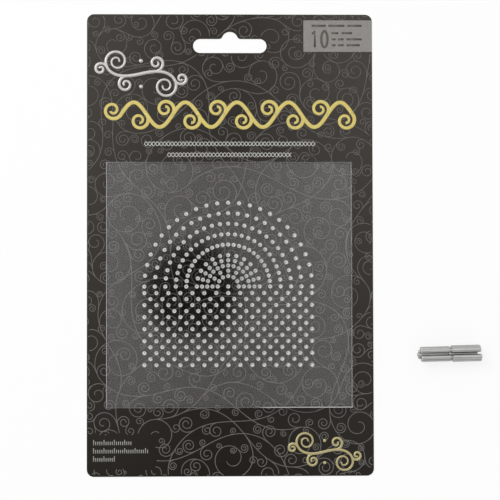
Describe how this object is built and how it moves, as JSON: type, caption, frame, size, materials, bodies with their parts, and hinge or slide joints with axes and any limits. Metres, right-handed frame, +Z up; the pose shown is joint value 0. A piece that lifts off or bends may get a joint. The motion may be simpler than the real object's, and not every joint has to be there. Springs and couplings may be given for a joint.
{
  "type": "wire jig",
  "caption": "Wire bending jig: a clear square peg board with half rings over staggered rows of blind holes, on a dark hang card with loose stepped metal pegs beside it.",
  "frame": {"origin": "centre of the hang card's back, on the surface that the card lies on", "axes": "+X to the card's right, towards the pegs; +Y to its hanging end; +Z up, out of its printed face"},
  "size_m": [0.1642, 0.193, 0.0083],
  "materials": {
    "printed_card": "charcoal printed board with grey line ornament, slight sheen",
    "clear_acrylic": "clear polished cast acrylic with bright sawn edges",
    "peg_steel": "satin turned steel"
  },
  "bodies": {
    "card": {"hang_card": "printed_card"},
    "board": {"jig_plate": "clear_acrylic"},
    "peg_01": {"peg_01": "peg_steel"},
    "peg_02": {"peg_02": "peg_steel"},
    "peg_03": {"peg_03": "peg_steel"},
    "peg_04": {"peg_04": "peg_steel"},
    "peg_05": {"peg_05": "peg_steel"},
    "peg_06": {"peg_06": "peg_steel"},
    "peg_07": {"peg_07": "peg_steel"},
    "peg_08": {"peg_08": "peg_steel"},
    "peg_09": {"peg_09": "peg_steel"},
    "peg_10": {"peg_10": "peg_steel"}
  },
  "joints": [
    {"name": "plate_lift", "type": "slide", "parent": "card", "child": "board", "axis": [0, 0, 1], "range_m": [0, 0.03]},
    {"name": "peg_01_draw", "type": "slide", "parent": "card", "child": "peg_01", "axis": [0.9997, 0.0244, 0], "range_m": [0, 0.03]},
    {"name": "peg_02_draw", "type": "slide", "parent": "card", "child": "peg_02", "axis": [0.9997, 0.0244, 0], "range_m": [0, 0.03]},
    {"name": "peg_03_draw", "type": "slide", "parent": "card", "child": "peg_03", "axis": [0.9997, 0.0244, 0], "range_m": [0, 0.03]},
    {"name": "peg_04_draw", "type": "slide", "parent": "card", "child": "peg_04", "axis": [0.9997, 0.0244, 0], "range_m": [0, 0.03]},
    {"name": "peg_05_draw", "type": "slide", "parent": "card", "child": "peg_05", "axis": [0.9997, 0.0244, 0], "range_m": [0, 0.03]},
    {"name": "peg_06_draw", "type": "slide", "parent": "card", "child": "peg_06", "axis": [0.9997, 0.0244, 0], "range_m": [0, 0.03]},
    {"name": "peg_07_draw", "type": "slide", "parent": "card", "child": "peg_07", "axis": [0.9997, 0.0244, 0], "range_m": [0, 0.03]},
    {"name": "peg_08_draw", "type": "slide", "parent": "card", "child": "peg_08", "axis": [0.9997, 0.0244, 0], "range_m": [0, 0.03]},
    {"name": "peg_09_draw", "type": "slide", "parent": "card", "child": "peg_09", "axis": [0.9997, 0.0244, 0], "range_m": [0, 0.03]},
    {"name": "peg_10_draw", "type": "slide", "parent": "card", "child": "peg_10", "axis": [0.9997, 0.0244, 0], "range_m": [0, 0.03]}
  ]
}
